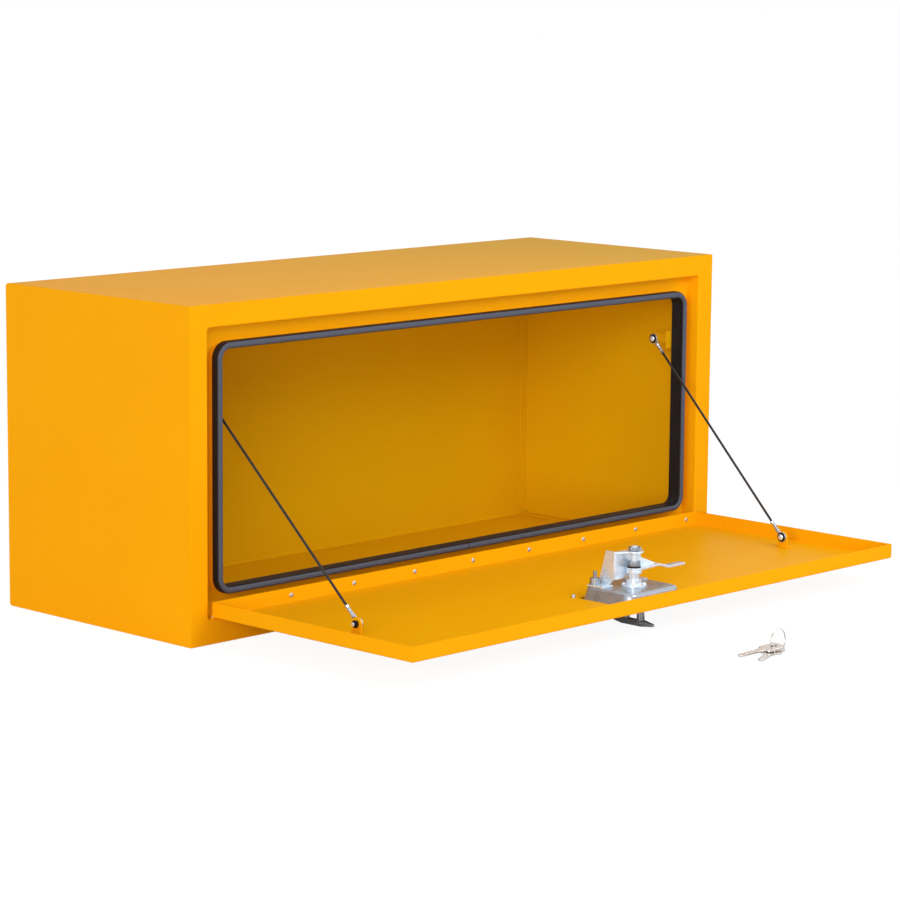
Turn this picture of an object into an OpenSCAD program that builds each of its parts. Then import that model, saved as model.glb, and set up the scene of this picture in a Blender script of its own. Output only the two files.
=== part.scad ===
// Steel truck toolbox with a drop-down front door, stay cables and a folding T-handle latch.
// Frame: X across the width, Y from front (-) to back (+), Z up; origin at the centre of the base.
// Drawn with the door open and held level by its two cables.

/* [Box] */
// Width of the box
body_w = 914; // [760:1:1220]
// Depth of the box, front to back
body_d = 330; // [300:1:460]
// Height of the box
body_h = 390; // [380:1:460]
// Thickness of the steel sheet
sheet_t = 1.5; // [1.2:0.1:2]
// Outside bend radius along the back edges
edge_r = 4; // [3:0.5:8]
// Width of the lap flanges inside the ends
lap_w = 14; // [10:1:18]

/* [Front frame] */
// Width of the face strip at the sides and top
strip_w = 26.5; // [22:0.5:36]
// Height of the face strip under the door
sill_h = 29; // [26:0.5:36]
// Depth of the recess that the door closes into
recess_d = 22; // [20.5:0.5:26]
// Corner radius of the recess
recess_r = 4; // [3:0.5:8]
// Outer edge of the seal from the sides and top of the box
seal_side = 45; // [43:0.5:56]
// Outer edge of the seal above the base
seal_sill = 53.5; // [52:0.5:62]
// Width of the seal across its two legs
seal_w = 8.5; // [7:0.5:10]
// Outer corner radius of the seal
seal_r = 20; // [17:1:30]
// Depth of the seal's bulb behind the front plane
bulb_y = 2.5; // [2.5:0.1:3.5]
// Length of the seal's outer leg
seal_leg = 8; // [6:0.5:12]
// Depth of the lip's edge behind the front plane
lip_y = 6; // [5:0.5:9]
// Clearance between the seal and the lip
seal_fit = 0.1; // [0.05:0.05:0.3]

/* [Hinge] */
// Radius of the hinge knuckles
knuckle_r = 2.75; // [2.5:0.05:3.2]
// Radius of the hinge pin
pin_r = 1.5; // [1.2:0.1:1.7]
// Radial running clearance round pins and shafts
run_fit = 0.05; // [0.02:0.01:0.1]
// Gap from a knuckle to the sheet beside it
knuckle_gap = 0.4; // [0.3:0.05:0.6]
// Thickness of the hinge leaves
leaf_t = 1.2; // [1:0.1:1.4]
// Width of the hinge leaves
leaf_w = 16; // [15:0.5:17]
// Number of knuckles along the hinge
knuckles = 33; // [25:2:41]
// Distance between hinge rivets
rivet_pitch = 102; // [60:1:104]
// Radius of the rivet shanks
rivet_r = 2; // [1.5:0.1:2.4]

/* [Door] */
// Gap between the door's sides and the recess
door_gap = 2.5; // [2:0.5:5]
// Gap between the door's free edge and the recess when shut
door_top_gap = 6.5; // [4:0.5:8]
// Height of the door's edge flanges
flange_h = 18; // [16:0.5:19]

/* [Stay cables] */
// Radius of the coated cable
cable_r = 1.6; // [1.2:0.1:2]
// Inset of the upper eyes from the box's sides
eye_in_upper = 64; // [60:1:90]
// Inset of the lower eyes from the box's sides
eye_in_lower = 80; // [70:1:100]
// Depth of the upper eyes behind the front plane
eye_y_upper = 45; // [42:1:60]
// Height of the upper eyes
eye_z_upper = 279.5; // [240:0.5:300]
// Distance of the lower eyes in front of the hinge
eye_y_lower = 189.5; // [160:0.5:220]
// Height of the lower eyes above the door sheet
eye_z_lower = 13.4; // [11:0.1:20]
// Radius of the cable eyes
eye_r = 6.5; // [5.5:0.1:7]
// Thickness of the cable eyes
eye_t = 2.4; // [2:0.1:3]
// Radius of the crimped ferrules
ferrule_r = 2.8; // [2.6:0.1:3.4]
// Distance from an eye's centre to its ferrule's end
ferrule_l = 25; // [20:0.5:30]
// Radius of the eye bolts
eye_bolt_r = 2.5; // [2:0.1:3]
// Thickness of the cable tabs
tab_t = 2; // [1.5:0.1:3]

/* [Latch] */
// Distance of the latch shaft behind the door's free edge
latch_in = 58.85; // [57:0.05:75]
// Width of the recessed dish at the door sheet
dish_w = 97; // [94:1:110]
// Length of the recessed dish at the door sheet
dish_l = 83.5; // [81:0.5:88]
// Corner radius of the dish
dish_r = 16; // [10:1:20]
// Inward slope of the dish walls over their height
dish_taper = 5; // [2:0.5:6]
// Height of the dish's back above the door sheet
dish_h = 14.35; // [14:0.05:18]
// Width of the rim outside the dish
rim_w = 9; // [8:0.5:10]
// Corner radius of the door's cut-out for the dish
cut_r = 3; // [1:0.5:6]
// Thickness of the pressed steel in the latch
press_t = 1.5; // [1.2:0.1:2]
// Thickness of the rubber gasket under the rim
gasket_t = 1; // [0.5:0.1:1.5]
// Radius of the latch shaft
shaft_r = 6; // [5:0.1:6.5]
// Radius of the shaft's outer hub
hub_r = 8; // [7.5:0.1:9]
// Radius of the shaft's threaded end
stud_r = 4; // [3:0.1:4.5]
// Height of the cam above the dish
cam_z = 19; // [18:0.5:24]
// Thickness of the cam
cam_t = 3; // [2.5:0.1:4]
// Reach of the cam from the shaft
cam_reach = 88; // [80:1:89]
// Width of the cam at its hub
cam_w = 18; // [14:0.5:18]
// Width of the cam at its tip
cam_tip_w = 9; // [7:0.5:12]
// Height of the cam's turned-up back edge
cam_rib_h = 11; // [4:0.5:12]
// Drop of the cam's tip
cam_drop = 5; // [3:0.5:6]
// Height of the bracket over the dish
bracket_h = 42; // [38:0.5:48]
// Width of the bracket
bracket_w = 48; // [44:1:56]
// Thickness of the bracket
bracket_t = 2; // [1.5:0.1:3]
// Height of the bracket's front edge over the dish
bracket_lift = 8.5; // [4:0.5:12]
// Gap between the cam's tip and its keeper
keeper_gap = 0.6; // [0.4:0.1:1.5]

/* [Handle and lock] */
// Distance from the handle's pivot to its crossbar
stem_l = 32; // [28:0.5:33]
// Length of the crossbar
bar_l = 65; // [50:1:68]
// Thickness of the crossbar
bar_t = 7; // [6:0.5:8]
// Thickness of the two prongs
prong_t = 4.4; // [3:0.1:5]
// Width of the two prongs
prong_w = 9; // [7:0.5:9.5]
// Radius of the handle's pivot pins
pivot_r = 2; // [1.5:0.1:2.4]
// Gap between the prongs and the hub
prong_gap = 0.4; // [0.3:0.05:0.8]
// Radius of the lock plug
plug_r = 5.25; // [4.5:0.05:5.5]
// Length of the lock plug
plug_l = 11.5; // [10:0.5:12]

/* [Keys] */
// Place of the key ring across the box
keys_x = 12; // [-100:1:200]
// Place of the key ring in front of the door's free edge
keys_y = 148; // [60:1:300]
// Radius of the key ring
ring_r = 13; // [12.5:0.1:15]
// Radius of the ring's wire
wire_r = 0.9; // [0.7:0.05:1]
// Thickness of the keys
key_t = 2.2; // [1.8:0.1:2.4]
// Length of the keys
key_l = 56; // [52:0.5:62]
// Width of the key bows
bow_w = 24; // [20:0.5:26]
// Angle between each key and the ring's plane
key_fan = 20; // [10:1:22]

/* [Hidden] */

eps = 0.01;
front_y = -body_d / 2;
back_y = body_d / 2;
half_w = body_w / 2;

// Hinge axis, on the front plane above the sill
leaf_off = knuckle_r + knuckle_gap;
hinge_z = sill_h + leaf_off;
leaf_len = body_w - 2 * (strip_w + door_gap + recess_r);
knuckle_pitch = leaf_len / knuckles;
bore_r = pin_r + run_fit;
rivet_hole_r = rivet_r + run_fit;
rivet_head_r = rivet_r * 1.45;
rivet_head_h = 1.2;
rivet_tail_h = 0.7;
tall_tail_h = 3.6;
rivet_half = floor((leaf_len / 2 - rivet_head_r) / rivet_pitch);

// Frame outlines
wall_end = recess_d + sheet_t;
lip_in = (seal_w - sheet_t) / 2;

// Door, drawn level
door_w = body_w - 2 * (strip_w + door_gap);
door_len = body_h - strip_w - door_top_gap - hinge_z;
door_back = front_y - leaf_off;
door_front = front_y - door_len;
door_in_z = hinge_z + sheet_t;

// Eyes and cables
upper_eye = [half_w - eye_in_upper, front_y + eye_y_upper, eye_z_upper];
lower_eye = [half_w - eye_in_lower, front_y - eye_y_lower, door_in_z + eye_z_lower];
eye_span = norm(upper_eye - lower_eye);
cable_dir = (lower_eye - upper_eye) / eye_span;
ferrule_bore = 12;
cable_end_gap = 0.5;
eye_nut_h = 4;
eye_head_h = 2.6;
eye_bolt_fit = 0.1;
eye_tab_r = eye_r + 1;
neck_r = eye_tab_r + 1.5;
// the upper tab's arm stays above the ferrule that leaves it
arm_low = ferrule_r * abs(cable_dir[1]) + 0.4
    - sqrt(neck_r * neck_r - ferrule_r * ferrule_r) * abs(cable_dir[2]);

// Latch levels above the base
shaft_y = door_front + latch_in;
dish_mid_y = shaft_y + 2.75;
rim_z = hinge_z - gasket_t - press_t;
dish_z = door_in_z + dish_h;
dish_floor = dish_z - press_t;
dish_gap = 0.3;
bushing_t = 2.5;
bushing_r = 15;
boss_r = 9;
boss_h = 8;
cam_base = dish_z + cam_z;
collar_h = 3.5;
collar_r = 9.5;
washer_t = 1.5;
nut_af = 13;
nut_h = 6.5;
top_z = dish_z + bracket_h;
top_nut_h = 4.5;
web_y = shaft_y + boss_r + 0.5;
flange_back = 24;
foot_w = 19;
foot_l = 24;
stud_l = 19;
stud_nut_h = 6;
pivot_z = hinge_z + prong_w / 2 + 0.35;
hub_z = hinge_z + 0.5;
hub_top = dish_floor - dish_gap;
prong_in = hub_r + prong_gap;
rivet_x = dish_w / 2 + 2.5;
rivet_y = dish_l / 2 + 4.75;

module outline(side, base, top, r) {
    // rounded rectangle on the front view, inset from the box's edges
    x = half_w - side;
    translate([-x + r, base]) square([2 * (x - r), body_h - top - base]);
    translate([-x, base + r]) square([2 * x, body_h - top - base - 2 * r]);
    for (sx = [-1, 1], z = [base + r, body_h - top - r])
        translate([sx * (x - r), z]) circle(r = r, $fn = 48);
}

module seal_line(inset) {
    outline(seal_side + inset, seal_sill + inset, seal_side + inset, seal_r - inset);
}

module recess_line(grow) {
    outline(strip_w - grow, sill_h - grow, strip_w - grow, recess_r + grow);
}

module front_slab(y0, y1) {
    // a front-view outline made solid from y0 to y1 behind the front plane
    translate([0, front_y + y1, 0]) rotate([90, 0, 0]) linear_extrude(height = y1 - y0) children();
}

module side_slab(x0, x1) {
    // a side-view outline made solid from x0 to x1
    translate([x0, 0, 0]) rotate([90, 0, 90]) linear_extrude(height = x1 - x0) children();
}

module side_profile(inset) {
    // side view of the box, rounded at the back
    r = max(edge_r - inset, 0.5);
    y0 = front_y + sheet_t;
    y1 = back_y - inset;
    translate([y0, inset]) square([y1 - r - y0, body_h - 2 * inset]);
    translate([y0, inset + r]) square([y1 - y0, body_h - 2 * inset - 2 * r]);
    for (z = [inset + r, body_h - inset - r]) translate([y1 - r, z]) circle(r = r, $fn = 48);
}

module mirrored(s) {
    // s = 1 draws on the right (+X), s = -1 on the left
    if (s > 0) children();
    else mirror([1, 0, 0]) children();
}

module rounded_box(w, l, r, h) {
    // a plate centred on the Z axis with round vertical edges
    linear_extrude(height = h) union() {
        square([w - 2 * r, l], center = true);
        square([w, l - 2 * r], center = true);
        for (sx = [-1, 1], sy = [-1, 1])
            translate([sx * (w / 2 - r), sy * (l / 2 - r)]) circle(r = r, $fn = 32);
    }
}

module hex(af, h) {
    cylinder(h = h, r = af / sqrt(3), $fn = 6);
}

// Box

module body_wrap() {
    color("orange") difference() {
        side_slab(-half_w + sheet_t, half_w - sheet_t) side_profile(0);
        side_slab(-half_w, half_w) union() {
            side_profile(sheet_t);
            translate([front_y, sheet_t]) square([edge_r + sheet_t, body_h - 2 * sheet_t]);
        }
    }
}

module end_panel() {
    lap_x = half_w - sheet_t - lap_w;
    y0 = front_y + sheet_t;
    y1 = back_y - sheet_t - edge_r;
    side_slab(half_w - sheet_t, half_w) side_profile(0);
    for (z = [sheet_t, body_h - 2 * sheet_t])
        translate([lap_x, y0, z]) cube([lap_w + eps, y1 - y0, sheet_t]);
    translate([lap_x, back_y - 2 * sheet_t, sheet_t + edge_r])
        cube([lap_w + eps, sheet_t, body_h - 2 * (sheet_t + edge_r)]);
}

module end_panel_left() {
    color("orange") mirrored(-1) end_panel();
}

module end_panel_right() {
    color("orange") mirrored(1) end_panel();
}

module front_face() {
    // flat sheet with the recess cut out
    color("gold") front_slab(0, sheet_t) difference() {
        translate([-half_w, 0]) square([body_w, body_h]);
        recess_line(0);
    }
}

module recess_band() {
    // folded band that the door closes into, drilled for the hinge rivets
    difference() {
        front_slab(sheet_t, wall_end) difference() {
            recess_line(sheet_t);
            recess_line(0);
        }
        for (x = frame_rivet_x()) translate([x, front_y + leaf_w / 2 + 1, sill_h - 2 * sheet_t])
            cylinder(h = 3 * sheet_t, r = rivet_hole_r, $fn = 24);
    }
}

module recess_part(side) {
    // one side of the band, mitred at the corners; side is "sill", "top", "left" or "right"
    x = half_w - strip_w;
    z0 = sill_h;
    z1 = body_h - strip_w;
    g = 2 * sheet_t;
    m = (z1 - z0) / 2;
    color("gold") intersection() {
        recess_band();
        front_slab(0, wall_end + 1) {
            if (side == "sill")
                polygon([[-x - g, z0 - g], [x + g, z0 - g], [x - m, z0 + m], [m - x, z0 + m]]);
            if (side == "top")
                polygon([[-x - g, z1 + g], [x + g, z1 + g], [x - m, z1 - m], [m - x, z1 - m]]);
            if (side == "left")
                polygon([[-x - g, z0 - g], [m - x, z0 + m], [m - x, z1 - m], [-x - g, z1 + g]]);
            if (side == "right")
                polygon([[x + g, z0 - g], [x - m, z0 + m], [x - m, z1 - m], [x + g, z1 + g]]);
        }
    }
}

module gutter_floor() {
    color("gold") front_slab(recess_d, wall_end) difference() {
        recess_line(0);
        seal_line(lip_in);
    }
}

module opening_lip() {
    // rolled edge of the opening, which carries the seal
    color("gold") front_slab(lip_y, wall_end) difference() {
        seal_line(lip_in);
        seal_line(lip_in + sheet_t);
    }
}

module door_seal() {
    color("#303030") difference() {
        union() {
            front_slab(bulb_y, bulb_y + 1.5) seal_line(1.2);
            front_slab(bulb_y + 1.5 - eps, bulb_y + seal_leg + 3) seal_line(0);
            front_slab(bulb_y + seal_leg, wall_end - 0.5) seal_line(lip_in + sheet_t + seal_fit);
        }
        front_slab(-1, bulb_y + 1.5) seal_line(seal_w - 1.2);
        front_slab(-1, wall_end + 1) seal_line(seal_w);
        front_slab(lip_y - seal_fit, wall_end + 1) difference() {
            seal_line(lip_in - seal_fit);
            seal_line(lip_in + sheet_t + seal_fit);
        }
        // butt joint at the middle of the sill
        translate([-0.25, front_y - 1, seal_sill - 1]) cube([0.5, wall_end + 2, seal_w + 2]);
    }
}

module cam_keeper() {
    // a hat section behind the frame's top rail, which the shut cam bears on
    mid_z = body_h - (strip_w + seal_side + lip_in) / 2;
    back = cam_base - cam_drop - hinge_z - keeper_gap;
    half = cam_w / 2 + 13;
    foot = 10;
    color("orange") translate([0, 0, mid_z - 7]) linear_extrude(height = 14) union() {
        translate([-half, front_y + back - sheet_t]) square([2 * half, sheet_t]);
        for (s = [-1, 1]) {
            translate([s > 0 ? half - sheet_t : -half, front_y + wall_end])
                square([sheet_t, back - wall_end]);
            translate([s > 0 ? half - sheet_t : -half - foot, front_y + wall_end])
                square([foot + sheet_t, sheet_t]);
        }
    }
}

// Hinge

function door_rivet_x() = [for (i = [-rivet_half:rivet_half]) i * rivet_pitch];
function frame_rivet_x() = [for (i = [-rivet_half:rivet_half - 1]) (i + 0.5) * rivet_pitch];
function knuckle_x(i) = -leaf_len / 2 + i * knuckle_pitch + knuckle_gap / 2;

module knuckle_row(first) {
    for (i = [first:2:knuckles - 1]) translate([knuckle_x(i), front_y, hinge_z])
        rotate([0, 90, 0]) cylinder(h = knuckle_pitch - knuckle_gap, r = knuckle_r, $fn = 32);
}

module pin_bore() {
    translate([-half_w, front_y, hinge_z]) rotate([0, 90, 0])
        cylinder(h = body_w, r = bore_r, $fn = 32);
}

module hinge_frame_leaf() {
    color("darkorange") difference() {
        union() {
            knuckle_row(0);
            translate([-leaf_len / 2, front_y, sill_h]) cube([leaf_len, leaf_w + 1, leaf_t]);
        }
        pin_bore();
        for (i = [1:2:knuckles - 1])
            translate([knuckle_x(i) - knuckle_gap, front_y - 1, sill_h - 1])
                cube([knuckle_pitch + knuckle_gap, leaf_off + 1.2, leaf_t + 2]);
        for (x = frame_rivet_x()) translate([x, front_y + leaf_w / 2 + 1, sill_h - 1])
            cylinder(h = leaf_t + 2, r = rivet_hole_r, $fn = 24);
    }
}

module hinge_door_leaf() {
    color("darkorange") difference() {
        union() {
            knuckle_row(1);
            translate([-leaf_len / 2, door_back, hinge_z]) cube([leaf_len, leaf_t, leaf_w]);
        }
        pin_bore();
        for (i = [0:2:knuckles - 1])
            translate([knuckle_x(i) - knuckle_gap, door_back - 1, hinge_z - 1])
                cube([knuckle_pitch + knuckle_gap, leaf_t + 2, leaf_off + 1.2]);
        for (x = door_rivet_x()) translate([x, door_back - 1, hinge_z + leaf_w / 2 + 1])
            rotate([-90, 0, 0]) cylinder(h = leaf_t + 2, r = rivet_hole_r, $fn = 24);
    }
}

module hinge_pin() {
    color("silver") translate([-leaf_len / 2, front_y, hinge_z])
        rotate([0, 90, 0]) cylinder(h = leaf_len, r = pin_r, $fn = 32);
}

module rivet(grip, tail_h = rivet_tail_h) {
    // head below z = 0, tail above the grip
    translate([0, 0, -rivet_head_h])
        cylinder(h = rivet_head_h, r1 = rivet_head_r * 0.62, r2 = rivet_head_r, $fn = 24);
    translate([0, 0, -eps]) cylinder(h = grip + 2 * eps, r = rivet_r, $fn = 24);
    translate([0, 0, grip]) cylinder(h = tail_h, r = rivet_head_r * 0.9, $fn = 24);
}

module frame_leaf_rivets() {
    color("silver") for (x = frame_rivet_x())
        translate([x, front_y + leaf_w / 2 + 1, sill_h + leaf_t]) rotate([180, 0, 0])
            rivet(leaf_t + sheet_t);
}

module door_leaf_rivets() {
    color("silver") for (x = door_rivet_x())
        translate([x, door_back - sheet_t, hinge_z + leaf_w / 2 + 1]) rotate([-90, 0, 0])
            rivet(leaf_t + sheet_t);
}

// Door

module door_sheet() {
    color("orange") difference() {
        translate([-door_w / 2, door_front, hinge_z])
            cube([door_w, door_back - door_front, sheet_t]);
        at_dish(hinge_z - 1)
            rounded_box(dish_w + 2 * dish_gap, dish_l + 2 * dish_gap, cut_r, sheet_t + 2);
        dish_rivet_holes(hinge_z - 1, sheet_t + 2);
    }
}

module door_edge_front() {
    color("orange") translate([-door_w / 2, door_front, door_in_z])
        cube([door_w, sheet_t, flange_h - sheet_t]);
}

module door_edge_back() {
    // the edge that the hinge's door leaf is riveted to
    color("orange") difference() {
        translate([-door_w / 2, door_back - sheet_t, door_in_z])
            cube([door_w, sheet_t, flange_h - sheet_t]);
        for (x = door_rivet_x())
            translate([x, door_back - sheet_t - 1, hinge_z + leaf_w / 2 + 1])
                rotate([-90, 0, 0]) cylinder(h = sheet_t + 2, r = rivet_hole_r, $fn = 24);
    }
}

module door_edge_side(s) {
    color("orange") mirrored(s) translate([door_w / 2 - sheet_t, door_front + sheet_t, door_in_z])
        cube([sheet_t, door_back - door_front - 2 * sheet_t, flange_h - sheet_t]);
}

// Stay cables

module eye_hole(h, r) {
    rotate([0, 90, 0]) cylinder(h = h, r = r, $fn = 32, center = true);
}

module upper_tab() {
    x0 = upper_eye[0] + eye_t / 2;
    y0 = front_y + wall_end;
    x1 = half_w - strip_w - 4;
    difference() {
        union() {
            translate([x0, y0, upper_eye[2] - eye_tab_r - 4])
                cube([x1 - x0, tab_t, 2 * eye_tab_r + 8]);
            translate([x0, y0, upper_eye[2] + arm_low])
                cube([tab_t, upper_eye[1] - y0, eye_tab_r - arm_low]);
            translate([x0 + tab_t / 2, upper_eye[1], upper_eye[2]]) eye_hole(tab_t, eye_tab_r);
        }
        translate([x0 + tab_t / 2, upper_eye[1], upper_eye[2]])
            eye_hole(tab_t + 2, eye_bolt_r + eye_bolt_fit);
    }
}

module lower_tab() {
    x0 = lower_eye[0] + eye_t / 2;
    foot = 14;
    difference() {
        union() {
            translate([x0, lower_eye[1] - eye_tab_r - 2, door_in_z])
                cube([foot, 2 * eye_tab_r + 4, tab_t]);
            translate([x0, lower_eye[1] - eye_tab_r, door_in_z])
                cube([tab_t, 2 * eye_tab_r, lower_eye[2] - door_in_z]);
            translate([x0 + tab_t / 2, lower_eye[1], lower_eye[2]]) eye_hole(tab_t, eye_tab_r);
        }
        translate([x0 + tab_t / 2, lower_eye[1], lower_eye[2]])
            eye_hole(tab_t + 2, eye_bolt_r + eye_bolt_fit);
    }
}

module along(d) {
    // turns +Z onto the direction d
    rotate([0, acos(d[2]), atan2(d[1], d[0])]) children();
}

module cable_eye(p, d) {
    translate(p) difference() {
        union() {
            eye_hole(eye_t, eye_r);
            along(d) cylinder(h = ferrule_l, r = ferrule_r, $fn = 32);
        }
        eye_hole(4 * eye_t, eye_bolt_r + eye_bolt_fit);
        // the eye stays flat where the bolt's head and the tab lie on it
        for (s = [-1, 1]) translate([s * (eye_t / 2 + 5), 0, 0]) eye_hole(10, neck_r);
        along(d) translate([0, 0, ferrule_l - ferrule_bore])
            cylinder(h = ferrule_bore + 1, r = cable_r + run_fit, $fn = 32);
    }
}

module eye_bolt(p) {
    nut_x = eye_t / 2 + tab_t;
    translate(p) {
        translate([nut_x / 2, 0, 0]) eye_hole(nut_x + eye_t / 2, eye_bolt_r);
        translate([-eye_t / 2 - eye_head_h, 0, 0]) rotate([0, 90, 0])
            cylinder(h = eye_head_h, r1 = eye_bolt_r * 1.1, r2 = eye_bolt_r * 1.8, $fn = 32);
        translate([nut_x, 0, 0]) rotate([0, 90, 0]) hex(3.2 * eye_bolt_r, eye_nut_h);
        translate([nut_x + eye_nut_h - eps, 0, 0]) rotate([0, 90, 0])
            cylinder(h = 2, r = eye_bolt_r, $fn = 32);
    }
}

module cable() {
    start = ferrule_l - ferrule_bore + cable_end_gap;
    translate(upper_eye + cable_dir * start) along(cable_dir)
        cylinder(h = eye_span - 2 * start, r = cable_r, $fn = 24);
}

module upper_tab_left() { color("orange") mirrored(-1) upper_tab(); }
module upper_tab_right() { color("orange") mirrored(1) upper_tab(); }
module lower_tab_left() { color("orange") mirrored(-1) lower_tab(); }
module lower_tab_right() { color("orange") mirrored(1) lower_tab(); }
module upper_eye_left() { color("silver") mirrored(-1) cable_eye(upper_eye, cable_dir); }
module upper_eye_right() { color("silver") mirrored(1) cable_eye(upper_eye, cable_dir); }
module lower_eye_left() { color("silver") mirrored(-1) cable_eye(lower_eye, -cable_dir); }
module lower_eye_right() { color("silver") mirrored(1) cable_eye(lower_eye, -cable_dir); }
module upper_bolt_left() { color("gray") mirrored(-1) eye_bolt(upper_eye); }
module upper_bolt_right() { color("gray") mirrored(1) eye_bolt(upper_eye); }
module lower_bolt_left() { color("gray") mirrored(-1) eye_bolt(lower_eye); }
module lower_bolt_right() { color("gray") mirrored(1) eye_bolt(lower_eye); }
module cable_left() { color("#202020") mirrored(-1) cable(); }
module cable_right() { color("#202020") mirrored(1) cable(); }

// Latch

module at_dish(z) {
    translate([0, dish_mid_y, z]) children();
}

module at_shaft(z) {
    translate([0, shaft_y, z]) children();
}

module dish_rivet_holes(z, h) {
    for (sx = [-1, 1], sy = [-1, 1])
        at_dish(z) translate([sx * rivet_x, sy * rivet_y, 0])
            cylinder(h = h, r = rivet_hole_r, $fn = 24);
}

module latch_gasket() {
    color("#303030") difference() {
        at_dish(hinge_z - gasket_t)
            rounded_box(dish_w + 2 * rim_w, dish_l + 2 * rim_w + 3, 10, gasket_t);
        at_dish(hinge_z - gasket_t - 1)
            rounded_box(dish_w + 2 * dish_gap, dish_l + 2 * dish_gap, dish_r + dish_gap, gasket_t + 2);
        dish_rivet_holes(hinge_z - gasket_t - 1, gasket_t + 2);
    }
}

module dish_form(inset, z0, z1) {
    // tapered box, smaller towards its back
    hull() {
        at_dish(z0) rounded_box(dish_w - 2 * inset, dish_l - 2 * inset, dish_r - inset, eps);
        at_dish(z1 - eps) rounded_box(dish_w - 2 * (inset + dish_taper),
            dish_l - 2 * (inset + dish_taper), dish_r - inset, eps);
    }
}

module latch_dish() {
    color("silver") difference() {
        union() {
            dish_form(0, rim_z, dish_z);
            at_dish(rim_z) rounded_box(dish_w + 2 * rim_w, dish_l + 2 * rim_w + 3, 10, press_t);
        }
        dish_form(press_t, rim_z - eps, dish_floor);
        at_shaft(dish_floor - 1) cylinder(h = press_t + 2, r = shaft_r + dish_gap, $fn = 48);
        dish_rivet_holes(rim_z - 1, press_t + 2);
        for (sx = [-1, 1]) bracket_stud_at(sx, dish_floor - 1)
            cylinder(h = press_t + 2, r = stud_r * 0.6 + run_fit, $fn = 24);
    }
}

module dish_rivets() {
    // the pair by the free edge is set flat, because the seal passes over it
    color("silver") for (sx = [-1, 1], sy = [-1, 1])
        at_dish(rim_z) translate([sx * rivet_x, sy * rivet_y, 0])
            rivet(press_t + gasket_t + sheet_t, sy < 0 ? rivet_tail_h : tall_tail_h);
}

module latch_bushing() {
    color("gray") difference() {
        union() {
            at_shaft(dish_z) cylinder(h = bushing_t, r = bushing_r, $fn = 48);
            at_shaft(dish_z) cylinder(h = boss_h, r = boss_r, $fn = 48);
        }
        at_shaft(dish_z - 1) cylinder(h = boss_h + 2, r = shaft_r + run_fit, $fn = 48);
    }
}

module bushing_screws() {
    color("silver") for (a = [45:90:315]) at_shaft(dish_z + bushing_t) rotate([0, 0, a])
        translate([(bushing_r + boss_r) / 2, 0, 0]) cylinder(h = 1.4, r1 = 2.4, r2 = 1.6, $fn = 24);
}

module bracket_stud_at(sx, z) {
    at_shaft(z) translate([sx * (bracket_w / 2 + 9), boss_r + 23, 0]) children();
}

module latch_bracket() {
    w = bracket_w / 2;
    y0 = web_y - shaft_y;
    color("lightgray") difference() {
        union() {
            // web behind the shaft, with an arch over the bushing
            at_shaft(dish_z + bracket_lift) translate([-w, y0, 0])
                cube([bracket_w, bracket_t, bracket_h - bracket_lift]);
            // top plate round the shaft's end
            at_shaft(top_z - bracket_t) linear_extrude(height = bracket_t) union() {
                polygon([[-w, y0 + bracket_t], [w, y0 + bracket_t], [w, y0], [10, -2], [-10, -2],
                    [-w, y0]]);
                circle(r = 11, $fn = 48);
            }
            // side gussets, wider at the foot
            for (s = [-1, 1]) mirrored(s) side_slab(w - bracket_t, w)
                translate([web_y + bracket_t - eps, dish_z]) polygon([[0, bracket_lift],
                    [flange_back / 3, 0], [flange_back, 0], [flange_back / 2, bracket_h],
                    [0, bracket_h]]);
            // feet
            for (s = [-1, 1]) mirrored(s) at_shaft(dish_z)
                translate([w - bracket_t, y0 + bracket_t + 2, 0])
                    cube([foot_w, foot_l, bracket_t]);
        }
        // relief round the bushing, and a low arch in the web over it
        at_shaft(dish_z - 1) cylinder(h = bushing_t + 1.5, r = bushing_r + 0.5, $fn = 48);
        translate([0, web_y - 1, dish_z - 8]) rotate([-90, 0, 0])
            cylinder(h = bracket_t + 2, r = bracket_lift + 10.5, $fn = 64);
        at_shaft(top_z - bracket_t - 1)
            cylinder(h = bracket_t + 2, r = stud_r + run_fit, $fn = 48);
        for (sx = [-1, 1]) bracket_stud_at(sx, dish_z - 1)
            cylinder(h = bracket_t + 2, r = stud_r * 0.6 + run_fit, $fn = 24);
    }
}

module bracket_studs() {
    color("silver") for (sx = [-1, 1]) {
        bracket_stud_at(sx, dish_floor - 1) cylinder(h = 1, r = stud_r, $fn = 24);
        bracket_stud_at(sx, dish_floor - eps) cylinder(h = stud_l, r = stud_r * 0.6, $fn = 24);
        bracket_stud_at(sx, dish_z + bracket_t) cylinder(h = 1.5, r = stud_r * 1.7, $fn = 32);
        bracket_stud_at(sx, dish_z + bracket_t + 1.5 - eps) hex(2.7 * stud_r, stud_nut_h);
    }
}

module latch_shaft() {
    end_z = top_z + dish_gap + top_nut_h + 1;
    color("gray") difference() {
        union() {
            at_shaft(hub_z) cylinder(h = hub_top - hub_z, r = hub_r, $fn = 48);
            at_shaft(hub_top - eps) cylinder(h = cam_base - hub_top + eps, r = shaft_r, $fn = 48);
            at_shaft(cam_base - collar_h) cylinder(h = collar_h, r = collar_r, $fn = 48);
            at_shaft(cam_base - eps) cylinder(h = end_z - cam_base, r = stud_r, $fn = 48);
        }
        at_shaft(hub_z - 1) cylinder(h = plug_l + 1.2, r = plug_r + run_fit, $fn = 48);
        at_shaft(pivot_z) rotate([90, 0, 0])
            cylinder(h = 2 * hub_r + 2, r = pivot_r, $fn = 32, center = true);
    }
}

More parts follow.
